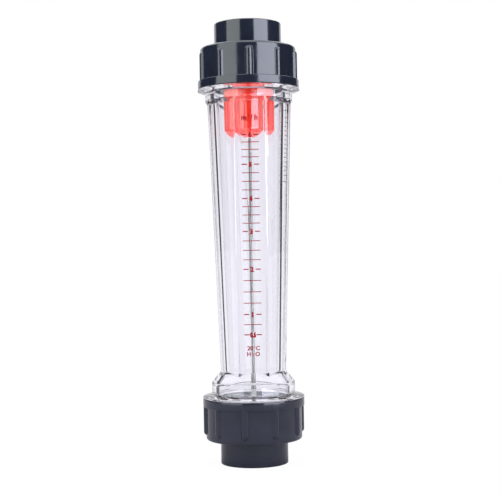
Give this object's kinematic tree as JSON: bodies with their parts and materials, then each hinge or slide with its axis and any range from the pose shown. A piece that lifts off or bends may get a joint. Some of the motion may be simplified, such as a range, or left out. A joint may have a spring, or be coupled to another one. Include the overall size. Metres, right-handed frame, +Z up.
{
  "type": "water flow meter",
  "caption": "Upright variable-area water flow meter: clear tapered tube with a printed scale, red float on a guide rod, and ribbed union nuts with glue-in pipe sockets at its ends.",
  "frame": {"origin": "centre of the lower pipe socket's mouth, on the plane that the meter stands on", "axes": "+Z up along the tube and the flow, printed scale facing -Y, +X to the right of someone who reads the scale"},
  "size_m": [0.114, 0.114, 0.49],
  "materials": {
    "clear_plastic": "clear moulded plastic, polished",
    "grey_pvc": "dark blue-grey moulded PVC, semi-gloss",
    "red_plastic": "red moulded plastic, gloss",
    "rod_steel": "drawn stainless steel",
    "fastener_steel": "plain stainless steel",
    "ballast_steel": "turned steel",
    "pale_plastic": "light grey moulded plastic",
    "bush_plastic": "white bearing plastic",
    "seal_rubber": "black moulded rubber"
  },
  "bodies": {
    "meter_tube": {"measuring_tube": "clear_plastic", "guide_rod": "rod_steel", "lower_rod_support": "pale_plastic", "upper_rod_support": "pale_plastic", "lower_stop_bush": "bush_plastic", "upper_stop_bush": "bush_plastic", "lower_rod_washer": "fastener_steel", "upper_rod_washer": "fastener_steel", "lower_rod_nut": "fastener_steel", "upper_rod_nut": "fastener_steel"},
    "float": {"float_shell": "red_plastic", "float_cap": "red_plastic", "float_ballast": "ballast_steel", "float_lower_bush": "bush_plastic", "float_upper_bush": "bush_plastic"},
    "lower_connector": {"lower_end_connector": "grey_pvc", "lower_o_ring": "seal_rubber"},
    "upper_connector": {"upper_end_connector": "grey_pvc", "upper_o_ring": "seal_rubber"},
    "lower_nut": {"lower_union_nut": "grey_pvc"},
    "upper_nut": {"upper_union_nut": "grey_pvc"}
  },
  "joints": [
    {"name": "float_slide", "type": "slide", "parent": "meter_tube", "child": "float", "axis": [0, 0, 1], "range_m": [-0.2775, 0]},
    {"name": "lower_connector_slide", "type": "slide", "parent": "meter_tube", "child": "lower_connector", "axis": [0, 0, -1], "range_m": [0, 0.027]},
    {"name": "lower_nut_turn", "type": "hinge", "parent": "lower_connector", "child": "lower_nut", "pos_m": [0, 0, 0.036], "axis": [0, 0, -1], "range_deg": [0, 1620]},
    {"name": "upper_connector_slide", "type": "slide", "parent": "meter_tube", "child": "upper_connector", "axis": [0, 0, 1], "range_m": [0, 0.027]},
    {"name": "upper_nut_turn", "type": "hinge", "parent": "upper_connector", "child": "upper_nut", "pos_m": [0, 0, 0.454], "axis": [0, 0, 1], "range_deg": [0, 1620]}
  ],
  "couplings": [
    {"joint": "lower_connector_slide", "follows": "lower_nut_turn", "m_per_rad": 0.00095492},
    {"joint": "upper_connector_slide", "follows": "upper_nut_turn", "m_per_rad": 0.00095492}
  ]
}
